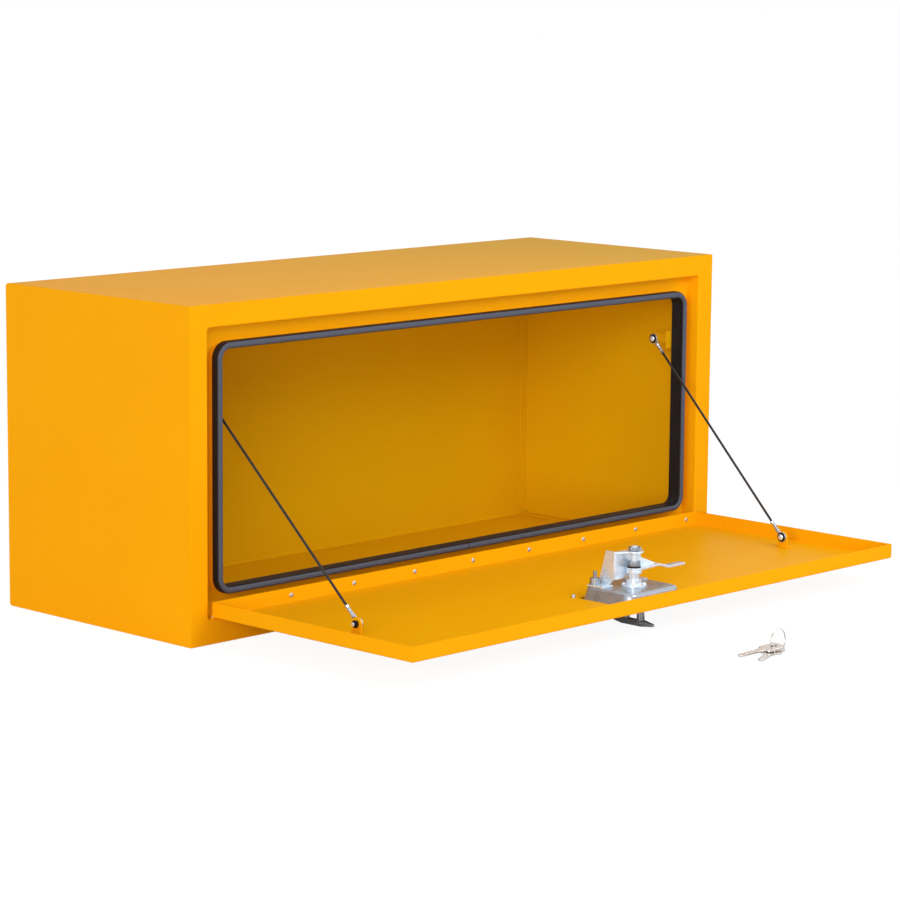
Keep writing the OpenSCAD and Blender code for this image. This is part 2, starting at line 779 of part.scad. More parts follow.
module latch_cam() {
    x1 = cam_reach * 0.46;
    x2 = cam_reach * 0.66;
    x0 = nut_af * 0.62 + 2;
    z0 = cam_base;
    rib_t = cam_t * 0.8;
    w = cam_w / 2;
    color("silver") difference() {
        union() {
            intersection() {
                translate([0, shaft_y + w, 0]) rotate([90, 0, 0]) linear_extrude(height = cam_w)
                    polygon([[0, z0], [x1, z0], [x2, z0 - cam_drop], [cam_reach, z0 - cam_drop],
                        [cam_reach, z0 - cam_drop + cam_t], [x2 + 0.5, z0 - cam_drop + cam_t],
                        [x1 + 0.5, z0 + cam_t], [0, z0 + cam_t]]);
                // plan outline, narrowing to the tip
                at_shaft(cam_base - cam_drop - 1) linear_extrude(height = cam_drop + cam_t + 2)
                    polygon([[0, -w], [x1, -cam_tip_w / 2], [cam_reach, -cam_tip_w / 2],
                        [cam_reach, cam_tip_w / 2], [x1, cam_tip_w / 2], [0, w]]);
            }
            at_shaft(cam_base) cylinder(h = cam_t, r = w, $fn = 48);
            // stiffening edge turned up along the back, down to nothing at the bend
            intersection() {
                at_shaft(cam_base) linear_extrude(height = cam_t + cam_rib_h)
                    polygon([[x0, w - (w - cam_tip_w / 2) * x0 / x1], [x1, cam_tip_w / 2],
                        [x1, cam_tip_w / 2 - rib_t], [x0, w - (w - cam_tip_w / 2) * x0 / x1 - rib_t]]);
                translate([0, shaft_y + w, 0]) rotate([90, 0, 0]) linear_extrude(height = cam_w)
                    polygon([[x0, z0], [x1, z0], [x1, z0 + cam_t], [x0 + 3, z0 + cam_t + cam_rib_h],
                        [x0, z0 + cam_t + cam_rib_h]]);
            }
        }
        at_shaft(cam_base - 1) cylinder(h = cam_t + 2, r = stud_r + run_fit, $fn = 48);
    }
}

module cam_washer() {
    color("gray") difference() {
        at_shaft(cam_base + cam_t) cylinder(h = washer_t, r = nut_af * 0.62, $fn = 48);
        at_shaft(cam_base) cylinder(h = cam_t + washer_t + 1, r = stud_r + run_fit, $fn = 48);
    }
}

module nut_on_shaft(z, h) {
    difference() {
        at_shaft(z) hex(nut_af, h);
        at_shaft(z - 1) cylinder(h = h + 2, r = stud_r + run_fit, $fn = 48);
    }
}

module cam_nut() {
    color("gray") nut_on_shaft(cam_base + cam_t + washer_t, nut_h);
}

module shaft_nut() {
    color("gray") nut_on_shaft(top_z + dish_gap, top_nut_h);
}

// Folding handle and lock

module handle_pins() {
    color("silver") for (s = [-1, 1])
        at_shaft(pivot_z) rotate([-s * 90, 0, 0]) translate([0, 0, plug_r + run_fit + 0.3])
            cylinder(h = prong_in + prong_t - plug_r - run_fit - 0.3, r = pivot_r, $fn = 32);
}

module t_handle() {
    bar_z = pivot_z - stem_l;
    color("silver") difference() {
        union() {
            for (s = [-1, 1]) {
                y0 = s > 0 ? prong_in : -prong_in - prong_t;
                at_shaft(bar_z) translate([-prong_w / 2, y0, 0]) cube([prong_w, prong_t, stem_l]);
                at_shaft(pivot_z) translate([0, y0 + prong_t, 0]) rotate([90, 0, 0])
                    cylinder(h = prong_t, r = prong_w / 2, $fn = 32);
            }
            hull() {
                at_shaft(bar_z) translate([-prong_w / 2, -prong_in - prong_t, -bar_t / 2])
                    cube([prong_w, 2 * (prong_in + prong_t), bar_t]);
                for (s = [-1, 1]) at_shaft(bar_z) translate([0, s * (bar_l / 2 - 2), 0])
                    sphere(r = 2, $fn = 24);
            }
        }
        at_shaft(pivot_z) rotate([90, 0, 0])
            cylinder(h = bar_l, r = pivot_r + run_fit, $fn = 32, center = true);
    }
}

module lock_plug() {
    color("gold") difference() {
        at_shaft(hub_z) cylinder(h = plug_l, r = plug_r, $fn = 48);
        at_shaft(hub_z - 1) translate([-1.3, -4.2, 0]) cube([2.6, 8.4, plug_l - 1]);
    }
}

// Keys

ring_at = [keys_x, door_front - keys_y, 0];
hole_s = 8.25;
tip_s = key_l - 2;
lift_1 = 2.8 / key_l;
lift_2 = (lift_1 * (tip_s - bow_w + 2) + key_t + 0.35) / (tip_s - bow_w);

module key_blank() {
    // s = 0 lies over the ring's lowest point and the blade runs towards +X
    bow = bow_w;
    linear_extrude(height = key_t) difference() {
        union() {
            translate([-2 + 5, -bow / 2]) square([bow - 9, bow]);
            translate([-2, -bow / 2 + 5]) square([bow, bow - 10]);
            for (y = [-1, 1]) translate([3, y * (bow / 2 - 5)]) circle(r = 5, $fn = 32);
            for (y = [-1, 1]) translate([bow - 6, y * (bow / 2 - 4)]) circle(r = 4, $fn = 32);
            translate([bow - 4, -5.5]) square([9, 11]);
            translate([bow, -4]) square([tip_s - bow - 3, 8]);
            translate([tip_s - 3.1, 0]) polygon([[0, -4], [3.1, -1], [3.1, 1.6], [0, 4]]);
        }
        // hole for the ring
        translate([hole_s - 1.25, 0]) circle(r = 3.5, $fn = 32);
        translate([hole_s + 1.25, 0]) circle(r = 3.5, $fn = 32);
        translate([hole_s - 1.25, -3.5]) square([2.5, 7]);
        // cuts along the blade's edge
        for (i = [0:4]) translate([bow + 9 + i * 4.2, -4.1 - 0.5 * (i % 2)])
            polygon([[-1.6, -1], [1.6, -1], [0.5, 1.9], [-0.5, 1.9]]);
    }
}

module key_at(turn, lift) {
    // turned about its hole and tilted down to its tip
    translate(ring_at) translate([-hole_s, 0, 0]) rotate([0, 0, 180 + turn])
        translate([-hole_s, 0, 0]) translate([tip_s, 0, 0]) rotate([0, atan(lift), 0])
            translate([-tip_s, 0, 0]) key_blank();
}

module key_1() {
    color("silver") key_at(key_fan, lift_1);
}

module key_2() {
    color("silver") key_at(-key_fan, lift_2);
}

module key_ring() {
    color("gray") translate(ring_at + [0, 0, ring_r + wire_r]) rotate([90, 0, 0])
        rotate_extrude($fn = 64) translate([ring_r, 0]) circle(r = wire_r, $fn = 16);
}

body_wrap();
end_panel_left();
end_panel_right();
front_face();
recess_part("top");  // recess_top
recess_part("sill");  // recess_sill
recess_part("left");  // recess_side_left
recess_part("right");  // recess_side_right
gutter_floor();
opening_lip();
door_seal();
cam_keeper();
hinge_frame_leaf();
hinge_pin();
frame_leaf_rivets();
upper_tab_left();
upper_tab_right();
upper_eye_left();
upper_eye_right();
upper_bolt_left();
upper_bolt_right();
cable_left();
cable_right();
door_sheet();
door_edge_front();
door_edge_back();
door_edge_side(-1);  // door_edge_left
door_edge_side(1);  // door_edge_right
hinge_door_leaf();
door_leaf_rivets();
lower_tab_left();
lower_tab_right();
lower_eye_left();
lower_eye_right();
lower_bolt_left();
lower_bolt_right();
latch_gasket();
latch_dish();
dish_rivets();
latch_bushing();
bushing_screws();
latch_bracket();
bracket_studs();
latch_shaft();
latch_cam();
cam_washer();
cam_nut();
shaft_nut();
handle_pins();
t_handle();
lock_plug();
key_1();
key_2();
key_ring();
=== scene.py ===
# %% [markdown]
# # A steel truck toolbox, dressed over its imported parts
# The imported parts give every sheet, hinge, bolt and lever its true size. This script adds what an
# engineering model leaves out: paint, plating and rubber, the soft bends of pressed steel, domed
# rivets, wire rope and cut keys. Each cell makes one thing and says why it is made that way.

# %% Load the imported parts
import math

import bmesh
import bpy
from mathutils import Matrix, Vector


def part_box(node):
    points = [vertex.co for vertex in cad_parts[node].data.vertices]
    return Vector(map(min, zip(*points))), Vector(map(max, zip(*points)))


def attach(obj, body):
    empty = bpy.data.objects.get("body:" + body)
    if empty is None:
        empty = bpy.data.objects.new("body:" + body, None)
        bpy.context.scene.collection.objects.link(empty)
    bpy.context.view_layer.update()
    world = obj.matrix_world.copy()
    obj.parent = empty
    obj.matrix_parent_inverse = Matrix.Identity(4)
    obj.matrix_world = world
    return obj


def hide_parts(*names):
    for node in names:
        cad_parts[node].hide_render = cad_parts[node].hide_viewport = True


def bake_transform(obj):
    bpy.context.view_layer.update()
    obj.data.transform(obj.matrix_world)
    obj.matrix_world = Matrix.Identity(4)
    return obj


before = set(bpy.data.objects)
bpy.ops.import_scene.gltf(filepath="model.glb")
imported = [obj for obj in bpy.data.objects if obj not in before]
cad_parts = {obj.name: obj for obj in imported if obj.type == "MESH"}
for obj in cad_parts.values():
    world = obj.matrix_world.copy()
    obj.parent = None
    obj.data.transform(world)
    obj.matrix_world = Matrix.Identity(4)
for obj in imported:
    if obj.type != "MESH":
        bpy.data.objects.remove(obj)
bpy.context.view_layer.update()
MM = 0.001

# %% [markdown]
# ## Camera
# The photograph was taken from the front left, a little above the lid, with a long lens: the box's
# edges barely converge. The camera's place was solved from those edges, so it is written down here
# as a place, a heading, a downward tilt and a very small roll.

# %% Camera at the photograph's viewpoint
heading, tilt, roll = 0.801696, 0.158125, 0.008433
camera_place, focal_mm, sensor_mm = (-2.7756, -2.8150, 0.7901), 126.7, 36.0
forward = Vector((math.sin(heading) * math.cos(tilt), math.cos(heading) * math.cos(tilt),
                  -math.sin(tilt)))
level = Vector((math.cos(heading), -math.sin(heading), 0.0))
upward = level.cross(forward)
right = level * math.cos(roll) + upward * math.sin(roll)
upward = right.cross(forward)
camera_data = bpy.data.cameras.new("photo_camera")
camera_data.lens = focal_mm
camera_data.sensor_width = sensor_mm
camera = bpy.data.objects.new("photo_camera", camera_data)
bpy.context.scene.collection.objects.link(camera)
turn = Matrix((right, upward, -forward)).transposed().to_4x4()
camera.matrix_world = Matrix.Translation(camera_place) @ turn
bpy.context.scene.camera = camera
print("camera looks along", [round(v, 3) for v in forward])

# %% [markdown]
# ## Colour and nodes
# Paint charts and colour pickers give sRGB hex values, and Blender's shaders want linear light, so
# one function turns the first into the second. One more adds a node, fills its inputs and joins
# its links.

# %% Colour and node helpers
def linear(hex_text):
    """An sRGB hex colour as linear RGBA."""
    parts = [int(hex_text[i:i + 2], 16) / 255 for i in (1, 3, 5)]
    light = [c / 12.92 if c <= 0.04045 else ((c + 0.055) / 1.055) ** 2.4 for c in parts]
    return (*light, 1.0)


def add(tree, kind, inputs=None, links=None, **settings):
    """Adds one node with its settings, its input values and the links that come into it."""
    made = tree.nodes.new(kind)
    for name, value in settings.items():
        setattr(made, name, value)
    for name, value in (inputs or {}).items():
        made.inputs[name].default_value = value
    for name, source in (links or {}).items():
        tree.links.new(source, made.inputs[name])
    return made


def new_finish(name):
    """An empty material with its Principled shader joined to the output."""
    finish = bpy.data.materials.new(name)
    finish.use_nodes = True
    finish.node_tree.nodes.clear()
    shader = add(finish.node_tree, "ShaderNodeBsdfPrincipled")
    add(finish.node_tree, "ShaderNodeOutputMaterial", links={"Surface": shader.outputs["BSDF"]})
    return finish, finish.node_tree, shader


def noise(tree, grain_mm, detail=2.0, rough=0.5):
    """A noise whose bumps are about grain_mm apart, fixed to the piece."""
    place = add(tree, "ShaderNodeTexCoord")
    return add(tree, "ShaderNodeTexNoise",
               {"Scale": 1000.0 / grain_mm, "Detail": detail, "Roughness": rough},
               {"Vector": place.outputs["Object"]})


def two_tones(tree, shader, pattern, dark, bright):
    """The base colour runs from dark to bright with the pattern."""
    mix = add(tree, "ShaderNodeMix", data_type="RGBA", links={"Factor": pattern.outputs[0]})
    mix.inputs[6].default_value = linear(dark)
    mix.inputs[7].default_value = linear(bright)
    tree.links.new(mix.outputs[2], shader.inputs["Base Color"])


def bumps(tree, shader, pattern, strength, height_mm):
    """The pattern also raises the surface by about height_mm."""
    bump = add(tree, "ShaderNodeBump", {"Strength": strength, "Distance": height_mm * MM},
               {"Height": pattern.outputs["Fac"]})
    tree.links.new(bump.outputs["Normal"], shader.inputs["Normal"])


# %% [markdown]
# ## Powder-coated steel
# The box is sheet steel with a yellow-orange polyester powder coat. The powder melts and levels in
# an oven, which leaves a satin skin with a very fine orange peel. The real peel is about 1.5 mm
# from bump to bump and is kept at that. The colour is even, with only a faint drift of tone over a
# hand's width. Some coats carry painted light and shade. The recess, the door pan, the hinge and
# the lower tabs get a lighter, yellower coat: painted light against their shade and orange bounce.
# Inside the box a darker, yellower coat is painted shade. The upper tabs get a darker coat:
# painted shade that matches their shaded wall. The lid's coat grows darker toward its right end:
# painted shade of light that falls from the left. Paint has an IOR of 1.5; the specular level is
# lowered, because a satin coat returns little of a soft studio's light.

# %% Powder coat
hand_mm, peel_mm, peel_height_mm, lid_end = 110.0, 1.5, 0.4, 0.45


def slow_drift(tree):
    """A tone that drifts over a hand's width."""
    return noise(tree, hand_mm)


# Used for the lid's painted shade, darker toward the right end.
def end_to_end(tree):
    """A tone that runs from 0 at the box's right end to 1 at its left end."""
    place = add(tree, "ShaderNodeTexCoord")
    split = add(tree, "ShaderNodeSeparateXYZ", links={"Vector": place.outputs["Object"]})
    return add(tree, "ShaderNodeMapRange", {"From Min": lid_end, "From Max": -lid_end},
               {"Value": split.outputs["X"]})


def powder_coat(name, dark, bright, pattern=slow_drift):
    """A satin powder coat that runs from dark to bright with the pattern."""
    finish, tree, shader = new_finish(name)
    two_tones(tree, shader, pattern(tree), dark, bright)
    bumps(tree, shader, noise(tree, peel_mm, 1.5), 0.1, peel_height_mm)
    shader.inputs["Roughness"].default_value = 0.45
    shader.inputs["IOR"].default_value = 1.5
    shader.inputs["Specular IOR Level"].default_value = 0.022
    return finish


outer_coat = powder_coat("powder_coat_yellow_orange", "#f6a505", "#f9aa07")
# Lighter and yellower: painted light against the shade and orange bounce in hollows.
hollow_painted_light_coat = powder_coat("powder_coat_with_painted_light_in_hollows", "#f9b008", "#fcb50b")
# Darker and yellower: painted shade inside the box.
inside_painted_shade_coat = powder_coat("powder_coat_with_painted_shade_inside", "#e6b40a", "#eab80c")
# Darker: painted shade, so the lamp-lit tabs match their shaded wall.
tab_painted_shade_coat = powder_coat("powder_coat_with_painted_shade_on_tabs", "#d69c08", "#dba10a")
# Darker toward the right end: painted shade of light that falls from the left.
lid_painted_shade_coat = powder_coat("powder_coat_with_painted_shade_on_lid", "#e0a604", "#fbad05", end_to_end)
print("powder coats made")

# %% [markdown]
# ## Plated and polished steel
# The latch's bracket, bushing, shaft and cam are zinc plated: a bright, slightly blue metal whose
# crystals give it a soft mottle. The dish is drawn steel, a plainer blue grey, and the rivets and
# cable eyes are polished. The cast handle is darker. The latch's nuts and studs get a darker grey,
# and the cam's washer and the cables' bolts a near black. On the latch this is painted shade and
# dark reflection; on the bolts it is the dark of a painted reflection. Plated steel is never a
# clean mirror: its roughness wanders with the mottle, so it follows the same pattern as the tone.
# The plate's fine crystals scatter part of the light, which is why the metallic part of these
# finishes is less than one.

# %% Metals
grain_height_mm = 0.2


def metal(name, dark, bright, rough, mottle_mm, relief, share=1.0):
    """A metal whose tone and roughness mottle over mottle_mm; share is its metallic part."""
    finish, tree, shader = new_finish(name)
    mottle = noise(tree, mottle_mm, 3.0, 0.6)
    two_tones(tree, shader, mottle, dark, bright)
    spread = add(tree, "ShaderNodeMapRange", {"From Min": 0.3, "From Max": 0.7,
                                              "To Min": rough * 0.75, "To Max": rough * 1.25},
                 {"Value": mottle.outputs["Fac"]})
    tree.links.new(spread.outputs["Result"], shader.inputs["Roughness"])
    bumps(tree, shader, mottle, relief, grain_height_mm)
    shader.inputs["Metallic"].default_value = share
    return finish


zinc_plate = metal("zinc_plated_steel", "#cfe2f4", "#f2f9ff", 0.26, 11.0, 0.03, 0.45)
# Darker grey: painted shade and dark reflection on the latch's nuts and studs.
shade_grey_zinc = metal("zinc_with_painted_shade_grey", "#7d868f", "#a9b2bb", 0.3, 7.0, 0.06, 0.7)
polished_steel = metal("polished_steel", "#a9afb8", "#c6ccd4", 0.3, 16.0, 0.015, 0.7)
drawn_steel = metal("drawn_steel", "#9fa8b4", "#b4bdc9", 0.3, 16.0, 0.015, 0.6)
cast_zinc = metal("cast_zinc", "#7c8087", "#b0b4ba", 0.22, 9.0, 0.08, 0.65)
# Near black: painted shade on the cam's washer, and the dark of the bolts' painted reflection.
shade_dark_zinc = metal("zinc_with_painted_shade_dark", "#1d1e22", "#2b2d32", 0.2, 5.0, 0.05, 0.8)
nickel_plate = metal("nickel_plated_brass", "#c4bfb9", "#e6e2dd", 0.3, 6.0, 0.06)
turned_brass = metal("turned_brass", "#b8924a", "#d9b56c", 0.3, 4.0, 0.1)
print("metals made")

# %% [markdown]
# ## Rubber and cable coat
# The seal is black EPDM. Its carrier is dense and matte, and its bulb is a softer sponge. The front
# of the bulb gets a grey finish: a painted highlight, the grey line that light from the front lays
# along the round bulb between its black edges. The cables are wire rope in a thin black vinyl skin,
# a little glossier than the rubber.

# %% Rubber and vinyl
def black_finish(name, dark, bloom, rough, grain_mm):
    """A black moulded or extruded skin with a grey bloom."""
    finish, tree, shader = new_finish(name)
    grain = noise(tree, grain_mm, 4.0, 0.6)
    two_tones(tree, shader, grain, dark, bloom)
    bumps(tree, shader, grain, 0.2, grain_height_mm)
    shader.inputs["Roughness"].default_value = rough
    shader.inputs["Specular IOR Level"].default_value = 0.3
    return finish


dense_rubber = black_finish("epdm_dense_rubber", "#0a0b12", "#15171f", 0.5, 3.0)
# Grey: a painted highlight for the front of the seal's bulb.
bulb_highlight_rubber = black_finish("epdm_with_painted_highlight", "#3f4554", "#535969", 0.6, 3.0)
vinyl_coat = black_finish("vinyl_cable_coat", "#0f0e0e", "#34302d", 0.28, 2.0)
print("rubbers made")

# %% [markdown]
# ## Working helpers
# Modelling by operators works on whatever is selected, so each helper clears the selection first
# and picks faces, edges or points by where they lie. `rounded_copy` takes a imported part, merges
# its loose triangles into clean faces and rounds its sharp edges, as pressing, casting or a file
# would. `dress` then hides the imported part, and the copy stands for it.

# %% Selecting and finishing
def start_clean():
    """Leaves edit mode and deselects everything."""
    if bpy.context.object and bpy.context.object.mode != "OBJECT":
        bpy.ops.object.mode_set(mode="OBJECT")
    bpy.ops.object.select_all(action="DESELECT")


def take(piece):
    """Leaves edit mode with one piece selected and active."""
    start_clean()
    piece.select_set(True)
    bpy.context.view_layer.objects.active = piece


def edit(piece):
    """Opens one piece in edit mode with all of it selected."""
    take(piece)
    bpy.ops.object.mode_set(mode="EDIT")
    bpy.ops.mesh.select_all(action="SELECT")


def pick(piece, kind, wanted):
    """Selects the faces, edges or verts of the open piece that wanted() accepts."""
    bpy.ops.mesh.select_mode(type={"faces": "FACE", "edges": "EDGE", "verts": "VERT"}[kind])
    bpy.ops.mesh.select_all(action="DESELECT")
    mesh = bmesh.from_edit_mesh(piece.data)
    for element in getattr(mesh, kind):
        if wanted(element):
            element.select_set(True)
    mesh.select_flush_mode()
    bmesh.update_edit_mesh(piece.data)


def face_outwards():
    """Selects all of the open piece and turns its faces outwards."""
    bpy.ops.mesh.select_all(action="SELECT")
    bpy.ops.mesh.normals_make_consistent(inside=False)


def smooth(piece, angle=48):
    """Leaves edit mode, shades smooth up to an angle and keeps large flat faces flat."""
    take(piece)
    bpy.ops.object.shade_smooth_by_angle(angle=math.radians(angle))
    bpy.ops.object.modifier_add(type="WEIGHTED_NORMAL")
    piece.modifiers[-1].keep_sharp = True
    bpy.ops.object.modifier_apply(modifier=piece.modifiers[-1].name)


def middle(edge):
    """The middle point of an edge."""
    return (edge.verts[0].co + edge.verts[1].co) / 2


def corners_of(piece):
    """The low and the high corner of a piece's box, in metres, for printing."""
    return [[round(v, 4) for v in corner] for corner in (piece.bound_box[0], piece.bound_box[6])]


def dress(piece, name, finish, body, slot, *nodes):
    """Names and paints a finished piece, sets it on its body and hides what it replaces."""
    piece.name = name
    piece.data.name = name
    piece.data.materials.clear()
    piece.data.materials.append(finish)
    smooth(piece)
    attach(piece, body)
    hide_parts(*nodes)
    print(name, "has", len(piece.data.polygons), "faces")


# %% Copies with rounded edges
weld, flat, sharp = 0.002 * MM, math.radians(0.5), math.radians(30)


def merged_copy(node):
    """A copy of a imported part, open in edit mode, with its triangles merged into flat faces."""
    start_clean()
    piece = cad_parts[node].copy()
    piece.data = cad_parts[node].data.copy()
    piece.parent = None
    piece.matrix_world = Matrix.Identity(4)
    bpy.context.scene.collection.objects.link(piece)
    for key in list(piece.keys()):
        del piece[key]
    edit(piece)
    bpy.ops.mesh.customdata_custom_splitnormals_clear()
    bpy.ops.mesh.remove_doubles(threshold=weld)
    bpy.ops.mesh.dissolve_limited(angle_limit=flat)
    return piece


def round_edges(piece, width_mm, segments=2, where=None):
    """Bevels the sharp edges of the open piece, all of them or those that where() accepts."""
    pick(piece, "edges", lambda e: len(e.link_faces) == 2 and e.calc_face_angle(0) > sharp
         and (where is None or where(e)))
    bpy.ops.mesh.bevel(offset=width_mm * MM, segments=segments, affect="EDGES",
                       clamp_overlap=False)


def rounded_copy(width_mm, node, segments=2):
    """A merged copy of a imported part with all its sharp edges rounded."""
    piece = merged_copy(node)
    round_edges(piece, width_mm, segments)
    return piece


# %% [markdown]
# ## Folded and pressed sheets
# Sheet metal is drawn on paper as a section: flats and bends, with the sheet's thickness between
# two skins. Here the section is a list of points, and each point becomes one rounded outline at
# its own height. Outlines that follow one another are joined point to point, because the bridge
# operator matches by nearness and twists where a flat is wide. Every bend then has its true
# radius, and no hidden faces are left inside, as there would be between stacked plates.

# %% Outlines and lofts
corner_steps = 8


def outline(width, length, corner, height, middle_y):
    """A rounded rectangle of edges, in mm."""
    start_clean()
    bpy.ops.mesh.primitive_plane_add(size=1.0, location=(0, middle_y * MM, height * MM))
    loop = bpy.context.object
    loop.scale = (width * MM, length * MM, 1)
    bpy.ops.object.transform_apply(location=True, scale=True)
    edit(loop)
    bpy.ops.mesh.bevel(offset=corner * MM, segments=corner_steps, affect="VERTICES")
    bpy.ops.mesh.delete(type="ONLY_FACE")
    start_clean()
    return loop


def joined(pieces):
    """Joins pieces into the first one and gives it back."""
    take(pieces[0])
    for piece in pieces:
        piece.select_set(True)
    bpy.ops.object.join()
    return pieces[0]


def lofted(outlines, tube=False):
    """Joins outlines in turn, and closes the last one, or joins it to the first for a tube."""
    count = len(outlines[0].data.vertices)
    piece = outlines[0]
    for ring in outlines[1:]:
        piece = joined([piece, ring])
    edit(piece)
    last = len(outlines) - 1
    mesh = bmesh.from_edit_mesh(piece.data)
    mesh.verts.ensure_lookup_table()
    sides = [[v.index for v in edge.verts] for edge in mesh.edges
             if all(v.index < count for v in edge.verts)]
    for ring in range(last + 1 if tube else last):
        here, there = ring * count, (ring + 1) % (last + 1) * count
        for a, b in sides:
            mesh.faces.new([mesh.verts[i] for i in (here + a, here + b, there + b, there + a)])
    bmesh.update_edit_mesh(piece.data)
    if not tube:
        pick(piece, "verts", lambda v: v.index >= last * count)
        bpy.ops.mesh.edge_face_add()
    face_outwards()
    return piece


# %% Sections with bends
least_corner = 0.3


def bend(line, across, up, radius, start, end, steps=4):
    """Section points of a bend round (across, up) from one angle in degrees to another."""
    turns = (math.radians(start + (end - start) * i / steps) for i in range(steps + 1))
    return [(line, across + radius * math.cos(t), up + radius * math.sin(t)) for t in turns]


def folded_sheet(lines, section):
    """A sheet whose closed section is carried round its lines.

    A line is (width, length, corner radius, middle), and a section point is the line that it
    belongs to, its inset from that line and its height, all in mm."""
    rings = []
    for line, inset, up in section:
        width, length, corner, centre = lines[line]
        rings.append(outline(width - 2 * inset, length - 2 * inset,
                             max(corner - inset, least_corner), up, centre))
    return lofted(rings, tube=True)


# %% [markdown]
# ## Painted sheet metal
# The box is folded from 1.5 mm sheet, so every outer corner is a bend with a small radius. A bend
# takes the light as one thin soft line, where a cut block would show a hard edge. The wrap and the
# ends are copies of the imported parts with 0.35 mm on their cut edges. The front is one sheet, bent
# back for the recess, in for the gutter and forward again for the lip, and is made from its
# section. The faces that look into the cavity get the coat with painted shade, the recess and the
# gutter the lighter coat of painted light, and the lid its coat with painted shade to the right.

# %% Box sheets
sheet_t, cut_edge = 1.5, 0.35
inner_x, inner_back, inner_low, inner_top, lid_z = 0.4556, 0.1636, 0.0012, 0.3886, 0.3895


def recoat(piece, coat, chosen):
    """Gives the faces of a dressed piece whose middles are chosen another coat."""
    piece.data.materials.append(coat)
    for face in piece.data.polygons:
        if chosen(face.center):
            face.material_index = len(piece.data.materials) - 1


def inside_box(point):
    """True for a point on the walls' inner side."""
    return abs(point.x) < inner_x and inner_low < point.z < inner_top and point.y < inner_back


wrap = rounded_copy(cut_edge, "body_wrap")
dress(wrap, "top_back_and_base_sheet", outer_coat, "box", "paint", "body_wrap")
# The faces inside the box get the darker coat: painted shade.
recoat(wrap, inside_painted_shade_coat, inside_box)
# The lid gets the coat that darkens toward the right end: painted shade.
recoat(wrap, lid_painted_shade_coat, lambda point: point.z > lid_z)
# Each end's faces inside the box get the darker coat: painted shade.
for side in ("left", "right"):
    end = rounded_copy(cut_edge, "end_panel_" + side)
    dress(end, "end_sheet_" + side, outer_coat, "box", "paint", "end_panel_" + side)
    recoat(end, inside_painted_shade_coat, inside_box)

# %% Front sheet, from the face to the lip that carries the seal
# The box's width and height, the rims round the recess, and how far in the lip stands, in mm.
body_w, body_h, strip, sill, seal_side, seal_sill = 914.0, 390.0, 26.5, 29.0, 48.5, 57.0
edge_r, recess_r, gutter_r, gutter_d, lip_r, lip_d = 0.6, 1.8, 1.2, 20.8, sheet_t / 2, 6.75
front_lines = {
    "edge": (body_w, body_h, 1.2, body_h / 2),
    "recess": (body_w - 2 * strip, body_h - strip - sill, 4.0, (body_h - strip + sill) / 2),
    "lip": (body_w - 2 * seal_side, body_h - seal_side - seal_sill, 16.5,
            (body_h - seal_side + seal_sill) / 2)}
front_section = ([("edge", 0.0, sheet_t)] + bend("edge", edge_r, edge_r, edge_r, 180, 270, 3)
                 + bend("recess", -recess_r, recess_r, recess_r, 270, 360)
                 + bend("recess", gutter_r, gutter_d, gutter_r, 180, 90)
                 + bend("lip", -gutter_r, gutter_d, gutter_r, 90, 0)
                 + bend("lip", lip_r, lip_d, lip_r, 180, 360, 6)
                 + bend("lip", -gutter_r, gutter_d, gutter_r + sheet_t, 0, 90)
                 + bend("recess", gutter_r, gutter_d, gutter_r + sheet_t, 90, 180)
                 + bend("recess", -recess_r, recess_r, recess_r - sheet_t, 360, 270, 2))
front = folded_sheet(front_lines, [(line, inset, -deep) for line, inset, deep in front_section])
front_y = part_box("front_face")[0][1]
take(front)
front.rotation_euler = (math.pi / 2, 0, 0)
front.location = (0, front_y, 0)
bpy.ops.object.transform_apply(location=True, rotation=True)
dress(front, "front_sheet", outer_coat, "box", "paint", "front_face", "recess_top", "recess_sill",
      "recess_side_left", "recess_side_right", "gutter_floor", "opening_lip")
past_face, past_edge = 0.4 * MM, 2 * MM
# The recess and gutter faces get the lighter coat: painted light against their shade.
recoat(front, hollow_painted_light_coat, lambda point: point.y > front_y + past_face
       and abs(point.x) < body_w / 2 * MM - past_edge
       and past_edge < point.z < body_h * MM - past_edge)
keeper = rounded_copy(cut_edge, "cam_keeper")
dress(keeper, "cam_keeper_strap", outer_coat, "box", "paint", "cam_keeper")

# %% [markdown]
# ## Door
# The door is a shallow pan. Its four edges are folded up from the sheet with an outside bend of
# 2 mm, their corners are butted and ground, and a hole with small corners lets the latch dish in.
# The section runs from the hole out to the fold, up the flange, over its cut edge and back inside.

# %% Door pan
low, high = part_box("door_sheet")
flange_h = (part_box("door_edge_front")[1][2] - low[2]) / MM
dish_low, dish_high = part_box("latch_dish")
dish_y = (dish_low[1] + dish_high[1]) / 2 / MM
fold_r, flange_r, chamfer = 2.0, 0.3, 0.2
pan_lines = {"rim": ((high[0] - low[0]) / MM, (high[1] - low[1]) / MM, 1.2,
                     (low[1] + high[1]) / 2 / MM),
             "hole": (97.6, 84.1, 3.0, dish_y)}
pan_section = ([("hole", 0.0, sheet_t - chamfer), ("hole", 0.0, chamfer), ("hole", -chamfer, 0.0)]
               + bend("rim", fold_r, fold_r, fold_r, 270, 180)
               + bend("rim", flange_r, flange_h - flange_r, flange_r, 180, 90, 2)
               + bend("rim", sheet_t - flange_r, flange_h - flange_r, flange_r, 90, 0, 2)
               + bend("rim", fold_r, fold_r, fold_r - sheet_t, 180, 270, 3)
               + [("hole", -chamfer, sheet_t)])
pan = folded_sheet(pan_lines, [(line, inset, low[2] / MM + up) for line, inset, up in pan_section])
dress(pan, "door_pan", outer_coat, "door", "paint", "door_sheet", "door_edge_front",
      "door_edge_back", "door_edge_left", "door_edge_right")
pan_floor, past_edge = low[2] + 1.4 * MM, 1.0 * MM
